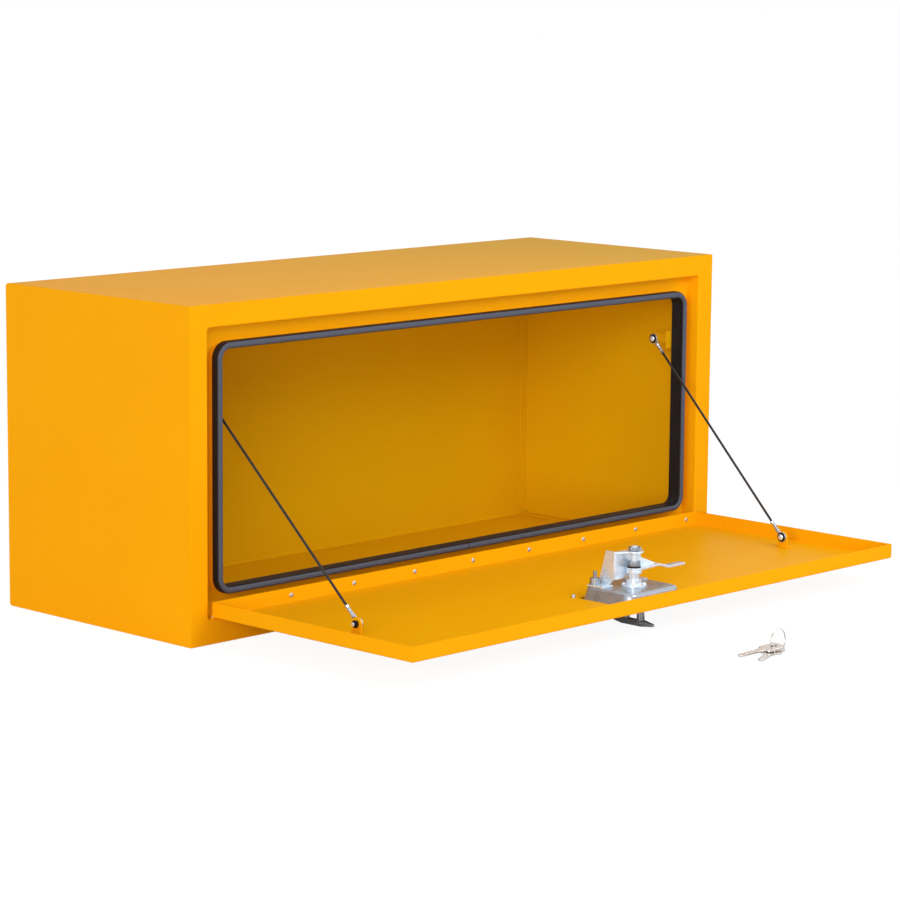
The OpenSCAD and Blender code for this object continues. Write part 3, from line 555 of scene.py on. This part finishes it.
# The pan's inner faces get the lighter coat: painted light against their shade.
recoat(pan, hollow_painted_light_coat, lambda point: point.z > pan_floor and abs(point.x) < high[0] - past_edge
       and low[1] + past_edge < point.y < high[1] - past_edge)
print("pan box", corners_of(pan))

# %% Hinge leaves and cable tabs
# The hinge leaves get the lighter coat: painted light against the shade where they sit.
for node, body in (("hinge_frame_leaf", "box"), ("hinge_door_leaf", "door")):
    dress(rounded_copy(0.25, node), node + "_rolled", hollow_painted_light_coat, body, "paint", node)
# Upper tabs get the darker coat, painted shade; lower tabs the lighter coat, painted light.
for side in ("left", "right"):
    for level_name, body, coat in (("upper", "box", tab_painted_shade_coat), ("lower", "door", hollow_painted_light_coat)):
        node = level_name + "_tab_" + side
        dress(rounded_copy(0.5, node), node + "_pressed", coat, body, "paint", node)

# %% [markdown]
# ## Door seal
# The seal is one extruded length of bulb trim, pushed over the lip and butted at the middle of the
# sill. An extrusion has the same section all the way, so it is made as a section carried along a
# path: a plane with rounded corners becomes the path, and the section has the round bulb, the leg
# outside the lip, the slot that grips it and the deeper leg inside, with fine grooves.

# %% Seal section and path
seal_low, seal_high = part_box("door_seal")
seal_w = 8.5
seal_deep = (seal_high[1] - seal_low[1]) / MM
corner_r, round_steps = 20.0 - seal_w / 2, 14
bulb_deep, outer_leg, slot_half, slot_top = 4.2, 11.0, 0.85, 3.4
grooves, groove_pitch, groove_w, groove_d = 5, 2.8, 0.7, 0.45


def seal_section():
    """Points of the section in mm: how far out across the seal, and how deep behind its front."""
    half = seal_w / 2
    points = [(half * math.cos(a), bulb_deep * (1 - math.sin(a)))
              for a in (math.pi * i / round_steps for i in range(round_steps + 1))]
    for i in range(grooves):
        groove = bulb_deep + 2.4 + i * groove_pitch
        points += [(-half, groove), (groove_d - half, groove + groove_w / 2),
                   (-half, groove + groove_w)]
    return points + [(-half, seal_deep), (-slot_half, seal_deep), (-slot_half, slot_top),
                     (slot_half, slot_top), (slot_half, outer_leg), (half, outer_leg)]


start_clean()
bpy.ops.mesh.primitive_plane_add(size=1.0)
path = bpy.context.object
path.scale = (seal_high[0] - seal_low[0] - seal_w * MM,
              seal_high[2] - seal_low[2] - seal_w * MM, 1)
bpy.ops.object.transform_apply(scale=True)
edit(path)
bpy.ops.mesh.bevel(offset=corner_r * MM, segments=round_steps, affect="VERTICES")
bpy.ops.mesh.delete(type="ONLY_FACE")
take(path)
bpy.ops.object.convert(target="CURVE")
path = bpy.context.object

section = bpy.data.curves.new("seal_section", "CURVE")
line = section.splines.new("POLY")
places = seal_section()
line.points.add(len(places) - 1)
for point, (across, deep) in zip(line.points, places):
    point.co = (-across * MM, -deep * MM, 0.0, 1.0)
line.use_cyclic_u = True
section_object = bpy.data.objects.new("seal_section", section)
bpy.context.scene.collection.objects.link(section_object)
path.data.dimensions = "2D"
path.data.bevel_mode = "OBJECT"
path.data.bevel_object = section_object
bpy.ops.object.convert(target="MESH")
seal = bpy.context.object
print("seal runs", round(seal.dimensions.x, 4), "by", round(seal.dimensions.y, 4))

# %% Stand the seal up in the opening
middle_z = (seal_low[2] + seal_high[2]) / 2
seal.rotation_euler = (math.pi / 2, 0, 0)
seal.location = (0, seal_low[1], middle_z)
bpy.ops.object.transform_apply(location=True, rotation=True)
bpy.data.objects.remove(section_object)
edit(seal)
bpy.ops.mesh.remove_doubles(threshold=weld)
bpy.ops.mesh.normals_make_consistent(inside=False)

# %% Butt joint at the middle of the sill
slit = 0.4 * MM
for x in (-slit, slit):
    bpy.ops.mesh.select_all(action="SELECT")
    bpy.ops.mesh.bisect(plane_co=(x, 0, 0), plane_no=(1, 0, 0))
pick(seal, "faces", lambda f: abs(f.calc_center_median().x) < 0.9 * slit
     and f.calc_center_median().z < middle_z)
bpy.ops.mesh.delete(type="FACE")
for x in (-slit, slit):
    pick(seal, "edges", lambda e: e.is_boundary and abs(middle(e).x - x) < 0.1 * slit)
    bpy.ops.mesh.edge_face_add()
dress(seal, "bulb_seal", dense_rubber, "box", "seal_rubber", "door_seal")
# The bulb's front faces get the grey finish: a painted highlight.
seal.data.materials.append(bulb_highlight_rubber)
highlight_y, cut_face = seal_low[1] + 1.3 * MM, 0.98
for patch in seal.data.polygons:
    if patch.center.y < highlight_y and abs(patch.normal.x) < cut_face:
        patch.material_index = 1
print("seal box", corners_of(seal))

# %% [markdown]
# ## Turned pieces
# Rivets, bolts and ferrules are round, so they are made as on a lathe: a disc is drawn up step by
# step, and each step is scaled to the radius that the profile has there. With six sides the same
# helper makes a nut with its chamfered ends.

# %% Lathe helpers
def turned(stations, sides=24):
    """A closed turned shape up +Z, from (height, radius) stations in mm."""
    start_clean()
    height, radius = stations[0]
    bpy.ops.mesh.primitive_circle_add(vertices=sides, radius=radius * MM, fill_type="NGON",
                                      location=(0, 0, height * MM))
    piece = bpy.context.object
    bpy.ops.object.transform_apply(location=True)
    edit(piece)
    for next_height, next_radius in stations[1:]:
        bpy.ops.mesh.extrude_region_move(
            TRANSFORM_OT_translate={"value": (0, 0, (next_height - height) * MM)})
        share = next_radius / radius
        bpy.ops.transform.resize(value=(share, share, 1.0))
        height, radius = next_height, next_radius
    face_outwards()
    start_clean()
    return piece


def aim(piece, at, along):
    """Turns +Z of a piece onto a direction, moves its origin to a place and applies both."""
    take(piece)
    piece.rotation_mode = "QUATERNION"
    piece.rotation_quaternion = Vector((0, 0, 1)).rotation_difference(Vector(along))
    piece.location = at
    bpy.ops.object.transform_apply(location=True, rotation=True)
    piece.rotation_mode = "XYZ"
    return piece


# %% [markdown]
# ## Rivets
# The hinge and the latch are fixed with blind rivets. The pull stem breaks off inside, so each
# head is a low dome with a small dark pit in its middle. The blind end swells on the far side: it
# stands tall on the latch rivets nearest the hinge, and is set flat where the seal passes over it.

# %% Blind rivets
rivet_r, rivet_head_r, rivet_head_h, rivet_tail_h, tall_tail_h = 2.0, 2.9, 1.2, 0.7, 3.6


def blind_rivet(grip, tail_h):
    """A set rivet with its head below z = 0 and its bulged tail above the grip."""
    head = [(-0.55, 0.8), (-1.1, 0.9), (-rivet_head_h, 1.15), (-1.0, 2.1), (-0.5, 2.7),
            (0, rivet_head_r)]
    tail = [(grip, 2.6), (grip + 0.65 * tail_h, 2.5), (grip + 0.9 * tail_h, 2.0),
            (grip + tail_h, 1.2), (grip + 0.5 * tail_h, 0.9)]
    return turned(head + [(0, rivet_r), (grip, rivet_r)] + tail, 20)


def rivet_row(name, node, body, places, along, grip, tails=None):
    """Rivets at places, heads facing against along; tails gives each one's tail height."""
    row = [aim(blind_rivet(grip, tail), place, along)
           for place, tail in zip(places, tails or [rivet_tail_h] * len(places))]
    dress(joined(row), name, polished_steel, body, "zinc_steel", node)


rivet_pitch, leaf_grip, dish_grip = 102.0, 2.7, 4.0
low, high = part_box("frame_leaf_rivets")
row_y, seat_z = (low[1] + high[1]) / 2, high[2] - rivet_head_h * MM
rivet_row("frame_leaf_blind_rivets", "frame_leaf_rivets", "box",
          [((i + 0.5) * rivet_pitch * MM, row_y, seat_z) for i in range(-4, 4)],
          (0, 0, -1), leaf_grip)
low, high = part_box("door_leaf_rivets")
row_z, seat_y = (low[2] + high[2]) / 2, low[1] + rivet_head_h * MM
rivet_row("door_leaf_blind_rivets", "door_leaf_rivets", "door",
          [(i * rivet_pitch * MM, seat_y, row_z) for i in range(-4, 5)], (0, 1, 0), leaf_grip)
low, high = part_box("dish_rivets")
head_r = rivet_head_r * MM
corners = [(x, y) for x in (low[0] + head_r, high[0] - head_r)
           for y in (low[1] + head_r, high[1] - head_r)]
rivet_row("dish_blind_rivets", "dish_rivets", "door",
          [(x, y, low[2] + rivet_head_h * MM) for x, y in corners], (0, 0, 1), dish_grip,
          [rivet_tail_h, tall_tail_h, rivet_tail_h, tall_tail_h])

# %% [markdown]
# ## Stay cables
# Each cable is steel wire rope in a thin black coat, so the skin shows the strands' slow twist. A
# circle gets six shallow valleys, and the Screw modifier carries it along with its twist. The real
# lay is about 12 mm for a turn. Each cable is made straight, from eye to eye.

# %% Where the cables are held
head_h, half_eye, tab_t, nut_h, bolt_r = 2.6, 1.2, 2.0, 4.0, 2.5
rope_seat = 13.5
outwards = {"left": -1, "right": 1}


def eye_place(level_name, side):
    """The middle of a cable's eye, from its bolt."""
    low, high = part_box(level_name + "_bolt_" + side)
    head_x = low[0] if side == "right" else high[0]
    return Vector((head_x + outwards[side] * (head_h + half_eye) * MM, (low[1] + high[1]) / 2,
                   (low[2] + high[2]) / 2))


# %% Coated wire rope
rope_r, valley, strands, lay, step_mm = 1.6, 0.92, 6, 12.0, 1.5


def screwed(loop, angle, rise, steps):
    """Carries an open loop round and up by the Screw modifier, and applies it."""
    take(loop)
    bpy.ops.object.modifier_add(type="SCREW")
    screw = loop.modifiers[-1]
    screw.angle = angle
    screw.screw_offset = rise
    screw.steps = screw.render_steps = steps
    bpy.ops.object.modifier_apply(modifier=screw.name)
    edit(loop)


def wire_rope(start, end):
    """Six strands under a coat, from start to end."""
    length = (end - start).length
    start_clean()
    bpy.ops.mesh.primitive_circle_add(vertices=4 * strands, radius=rope_r * MM,
                                      fill_type="NOTHING")
    rope = bpy.context.object
    edit(rope)
    pick(rope, "verts", lambda v: abs(math.sin(math.atan2(v.co.y, v.co.x) * strands / 2)) > 0.99)
    bpy.ops.transform.resize(value=(valley, valley, 1))
    screwed(rope, math.tau * length / MM / lay, length, int(length / MM / step_mm))
    for height in (0.0, length):
        pick(rope, "verts", lambda v: abs(v.co.z - height) < 0.01 * MM)
        bpy.ops.mesh.edge_face_add()
    face_outwards()
    return aim(rope, start, end - start)


for side in ("left", "right"):
    top_eye, foot_eye = eye_place("upper", side), eye_place("lower", side)
    run = (foot_eye - top_eye).normalized()
    rope = wire_rope(top_eye + run * rope_seat * MM, foot_eye - run * rope_seat * MM)
    rope.name = "stay_cable_" + side
    rope.data.name = rope.name
    rope.data.materials.append(vinyl_coat)
    smooth(rope, 60)
    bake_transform(rope)
    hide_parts("cable_" + side)
    print(rope.name, "is", round((foot_eye - top_eye).length, 4), "m between eyes")

# %% [markdown]
# ## Cable ends
# A flat eye is pressed onto each end of the rope, and its ferrule is crimped three times. The
# imported eye has the true hole and bore, so its copy is cut across the ferrule and the rings
# between the cuts are pinched in. The bolts have domed heads on a flange, and hex nuts behind the
# tabs. Flange, nut and most of the dome are near black and the dome's crown is bright zinc: a
# painted reflection, dark at the rim with a painted highlight at the crown. The thread end beyond
# the nut is bright zinc.

# %% Crimped eyes
crimp_at, crimp_gap, crimp_long, crimp_slope, pinch = 12.0, 4.2, 1.4, 0.5, 0.86
crimp_cuts = ((-crimp_slope, 1), (0, pinch), (crimp_long, pinch), (crimp_long + crimp_slope, 1))

for side in ("left", "right"):
    top_eye, foot_eye = eye_place("upper", side), eye_place("lower", side)
    for level_name, body, here, there in (("upper", "box", top_eye, foot_eye),
                                          ("lower", "door", foot_eye, top_eye)):
        node = level_name + "_eye_" + side
        eye = merged_copy(node)
        round_edges(eye, 0.3)
        run = (there - here).normalized()
        for crimp in range(3):
            for step, scale in crimp_cuts:
                cut = here + run * (crimp_at + crimp * crimp_gap + step) * MM
                bpy.ops.mesh.select_all(action="SELECT")
                bpy.ops.mesh.bisect(plane_co=cut, plane_no=run)
                bpy.ops.transform.resize(value=(scale, scale, scale))
        dress(eye, node + "_crimped", polished_steel, body, "bright_steel", node)

# %% Domed bolts with their nuts
# Heights run from the middle of the eye: the head's dome is above it, the nut's end below.
seat = -(half_eye + tab_t)
nut_end, tip = seat - nut_h, seat - nut_h - 2.0
nut_r, point_r, bevel_h, painted_highlight_from = 4.6, 4.0, 0.4, 3.2
head_profile = [(half_eye, bolt_r), (half_eye, 5.6), (1.5, 5.9), (2.0, 5.6), (2.2, 3.9),
                (3.0, 3.8), (3.7, 3.2), (4.2, 2.2), (4.4, 0.8)]
# Each bolt is near black, with its dome's crown and thread end in bright zinc: the bright crown is a
# painted highlight.
for side, out in outwards.items():
    for level_name, body in (("upper", "box"), ("lower", "door")):
        node = level_name + "_bolt_" + side
        place = eye_place(level_name, side)
        shank = turned([(tip, 2.2), (tip + bevel_h, bolt_r)] + head_profile)
        nut = turned([(nut_end, point_r), (nut_end + bevel_h, nut_r), (seat - bevel_h, nut_r),
                      (seat, point_r)], 6)
        bolt = aim(joined([shank, nut]), place, (-out, 0, 0))
        dress(bolt, node + "_domed", shade_dark_zinc, body, "zinc_steel", node)
        recoat(bolt, zinc_plate,
               lambda point: not nut_end - 0.1 <= (place.x - point.x) * out / MM <= painted_highlight_from)

# %% [markdown]
# ## Pressed latch dish
# The dish is drawn from one sheet: a flat rim, walls that lean in a little so that the sheet comes
# off its die, and generous radii at both bends. The same outlines are laid one above another, the
# radii coming from quarter circles, and Solidify then gives the sheet its thickness.

# %% The dish
dish_w, dish_l, dish_r, taper = 97.0, 83.5, 16.0, 5.0
rim_low, dish_top = dish_low[2] / MM, dish_high[2] / MM
rim_w, rim_l, rim_r = (dish_high[0] - dish_low[0]) / MM, (dish_high[1] - dish_low[1]) / MM, 10.0
foot_r, crown_r = 2.0, 5.0
rim_top = rim_low + sheet_t


def dish_outline(inset, height):
    """An outline of the dish wall, inset from its size at the door."""
    return outline(dish_w - 2 * inset, dish_l - 2 * inset, dish_r - inset, height, dish_y)


def lean(height):
    """How far the wall has leaned in at a height."""
    return taper * (height - rim_low) / (dish_top - rim_low)


rings = [outline(rim_w, rim_l, rim_r, rim_top, dish_y)]
for a in (0, 30, 60, 90):
    t = math.radians(a)
    rings.append(dish_outline(foot_r * (math.sin(t) - 1) + lean(rim_top + foot_r) * a / 90,
                              rim_top + foot_r * (1 - math.cos(t))))
for a in (0, 18, 36, 54, 72, 90):
    t = math.radians(a)
    rings.append(dish_outline(lean(dish_top - crown_r) + crown_r * (1 - math.cos(t)),
                              dish_top - crown_r * (1 - math.sin(t))))
dish = lofted(rings)
take(dish)
bpy.ops.object.modifier_add(type="SOLIDIFY")
dish.modifiers[-1].thickness = sheet_t * MM
dish.modifiers[-1].offset = -1
bpy.ops.object.modifier_apply(modifier=dish.modifiers[-1].name)
dress(dish, "pressed_dish", drawn_steel, "door", "bright_steel", "latch_dish")
print("dish box", corners_of(dish))

# %% [markdown]
# ## Latch works
# The bracket, the cam and the bushing are stamped from plate and zinc plated, so they keep crisp
# but never sharp edges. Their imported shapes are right, and rounded copies are enough. The cast
# T-handle is softer: its edges are rounded far more, as a hand needs.

# %% Bracket, bushing, cam and nuts
web_x, web_y, web_h, web_r = 24.0 * MM, -421.5 * MM, 8.0 * MM, 1.8


def is_web_fold(edge):
    """True for the tall upright edges where the bracket's sides fold into its web."""
    return (abs(abs(middle(edge).x) - web_x) < 0.05 * MM and middle(edge).y < web_y + 0.1 * MM
            and abs(edge.verts[0].co.z - edge.verts[1].co.z) > web_h)


bracket = merged_copy("latch_bracket")
round_edges(bracket, web_r, 4, is_web_fold)
round_edges(bracket, 0.35)
dress(bracket, "bent_bracket", zinc_plate, "door", "zinc_steel", "latch_bracket")
# The nuts, studs and washer get the darker finishes: painted shade and dark reflection.
for node, name, width, finish, body in (
        ("latch_bushing", "flanged_bushing", 0.4, zinc_plate, "door"),
        ("bracket_studs", "studs_with_nuts", 0.35, shade_grey_zinc, "door"),
        ("latch_shaft", "turned_shaft", 0.4, zinc_plate, "latch"),
        ("latch_cam", "cranked_cam", 0.45, zinc_plate, "latch"),
        ("cam_washer", "plain_washer", 0.3, shade_dark_zinc, "latch"),
        ("cam_nut", "cam_hex_nut", 0.6, shade_grey_zinc, "latch"),
        ("shaft_nut", "shaft_hex_nut", 0.6, shade_grey_zinc, "latch")):
    dress(rounded_copy(width, node), name, finish, body, "zinc_steel", node)

# %% Folding T-handle and lock plug
handle = rounded_copy(1.3, "t_handle", segments=4)
dress(handle, "cast_t_handle", cast_zinc, "handle", "bright_steel", "t_handle")
plug = rounded_copy(0.3, "lock_plug")
dress(plug, "keyed_plug", turned_brass, "plug", "brass", "lock_plug")

# %% [markdown]
# ## Keys
# The keys are nickel-plated brass blanks with cuts along one edge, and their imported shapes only
# need softer edges. They hang on a split ring, which is one wire wound twice, so the ring is a
# small circle carried twice round by the Screw modifier.

# %% Cut keys
for node, name in (("key_1", "cut_key_1"), ("key_2", "cut_key_2")):
    dress(rounded_copy(0.3, node), name, nickel_plate, "keys", "nickel", node)

# %% Split ring
low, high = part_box("key_ring")
ring_at = [(a + b) / 2 for a, b in zip(low, high)]
wire_r, two_turns, coil_steps, half_packed = 0.44, math.radians(716), 144, 0.9
ring_r = (high[2] - low[2]) / 2 - half_packed * MM
start_clean()
bpy.ops.mesh.primitive_circle_add(vertices=12, radius=wire_r * MM, fill_type="NOTHING",
                                  location=(ring_r, 0, 0), rotation=(math.pi / 2, 0, 0))
ring = bpy.context.object
bpy.ops.object.transform_apply(location=True, rotation=True)
screwed(ring, two_turns, 2 * 2 * wire_r * MM, coil_steps)
bpy.ops.mesh.select_mode(type="EDGE")
bpy.ops.mesh.select_all(action="DESELECT")
bpy.ops.mesh.select_non_manifold()
bpy.ops.mesh.edge_face_add()
face_outwards()
print("ring spans", [round(v / MM, 2) for v in ring.dimensions])

# %% Stand the ring up
take(ring)
ring.location = (ring_at[0], ring_at[1] + 2 * wire_r * MM, ring_at[2])
ring.rotation_euler = (math.pi / 2, 0, 0)
bpy.ops.object.transform_apply(location=True, rotation=True)
dress(ring, "split_ring", nickel_plate, "keys", "nickel", "key_ring")

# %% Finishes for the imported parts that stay
for name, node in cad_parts.items():
    if node.hide_render:
        continue
    node.data.materials.clear()
    node.data.materials.append(dense_rubber if name == "latch_gasket" else zinc_plate)
    print("kept", name)

# %% [markdown]
# ## Floor and light
# The product shot is plain: white all round, and faces that are almost equally bright. So the key
# light is broad, low and far off, between the front and the left end, where it falls on both and
# reaches through the mouth. A smaller one hangs in front and serves the open door more than the
# lid, and weak ones from above, behind and the right open the shadows. To the camera the floor is
# nearly all glow, so it reads as white and keeps only a faint shadow. Everything else sees it as
# pale paint.

# %% Floor
floor_size, floor_z = 80.0, -0.5 * MM
paint_seen_by_light, paint_seen_by_camera, camera_glow = 0.85, 0.14, 0.93
start_clean()
bpy.ops.mesh.primitive_plane_add(size=floor_size, location=(0, 0, floor_z))
floor = bpy.context.object
floor.name = "studio_floor"
floor_finish, tree, shader = new_finish("studio_white")
rays = add(tree, "ShaderNodeLightPath")
shade = add(tree, "ShaderNodeMapRange",
            {"To Min": paint_seen_by_light, "To Max": paint_seen_by_camera},
            {"Value": rays.outputs["Is Camera Ray"]})
tint = add(tree, "ShaderNodeCombineColor",
           links={k: shade.outputs["Result"] for k in ("Red", "Green", "Blue")})
tree.links.new(tint.outputs["Color"], shader.inputs["Base Color"])
glow = add(tree, "ShaderNodeMath", {1: camera_glow}, {0: rays.outputs["Is Camera Ray"]},
           operation="MULTIPLY")
shader.inputs["Emission Color"].default_value = (1, 1, 1, 1)
tree.links.new(glow.outputs[0], shader.inputs["Emission Strength"])
shader.inputs["Roughness"].default_value = 0.9
shader.inputs["Specular IOR Level"].default_value = 0.0
floor.data.materials.append(floor_finish)

# %% World and lamps
world = bpy.data.worlds.new("studio_world")
bpy.context.scene.world = world
world.use_nodes = True
tree = world.node_tree
tree.nodes.clear()
rays = add(tree, "ShaderNodeLightPath")
through = add(tree, "ShaderNodeMath", operation="MAXIMUM",
              links={0: rays.outputs["Is Camera Ray"], 1: rays.outputs["Is Transmission Ray"]})
seen = add(tree, "ShaderNodeMath", operation="MAXIMUM",
           links={0: through.outputs[0], 1: rays.outputs["Is Glossy Ray"]})
fill, white = [add(tree, "ShaderNodeBackground", {"Color": (1, 1, 1, 1), "Strength": strength})
               for strength in (0.5, 1.0)]
mixed = add(tree, "ShaderNodeMixShader",
            links={0: seen.outputs[0], 1: fill.outputs[0], 2: white.outputs[0]})
add(tree, "ShaderNodeOutputWorld", links={"Surface": mixed.outputs[0]})


def soft_lamp(name, place, aim_at, size, power):
    """A square area lamp at place, pointing at aim_at, which the camera doesn't see."""
    data = bpy.data.lights.new(name, "AREA")
    data.shape = "SQUARE"
    data.size = size
    data.energy = power
    lamp = bpy.data.objects.new(name, data)
    bpy.context.scene.collection.objects.link(lamp)
    lamp.location = place
    lamp.rotation_euler = (Vector(aim_at) - Vector(place)).to_track_quat("-Z", "Y").to_euler()
    lamp.visible_camera = False


soft_lamp("far_key_softbox", (-5.7, -3.8, 1.2), (0, -0.1, 0.2), 3.2, 250)
soft_lamp("door_softbox", (0.15, -1.15, 0.95), (0.05, -0.35, 0.03), 0.7, 6.4)
soft_lamp("top_softbox", (0, -0.3, 3.0), (0, -0.1, 0.2), 2.0, 3)
soft_lamp("back_softbox", (-1.2, 5.6, 1.6), (0, 0, 0.2), 2.4, 80)
soft_lamp("right_front_softbox", (2.2, -2.4, 0.9), (0, -0.1, 0.2), 1.6, 5)
bpy.context.scene.view_settings.view_transform = "Standard"
print("studio lit")
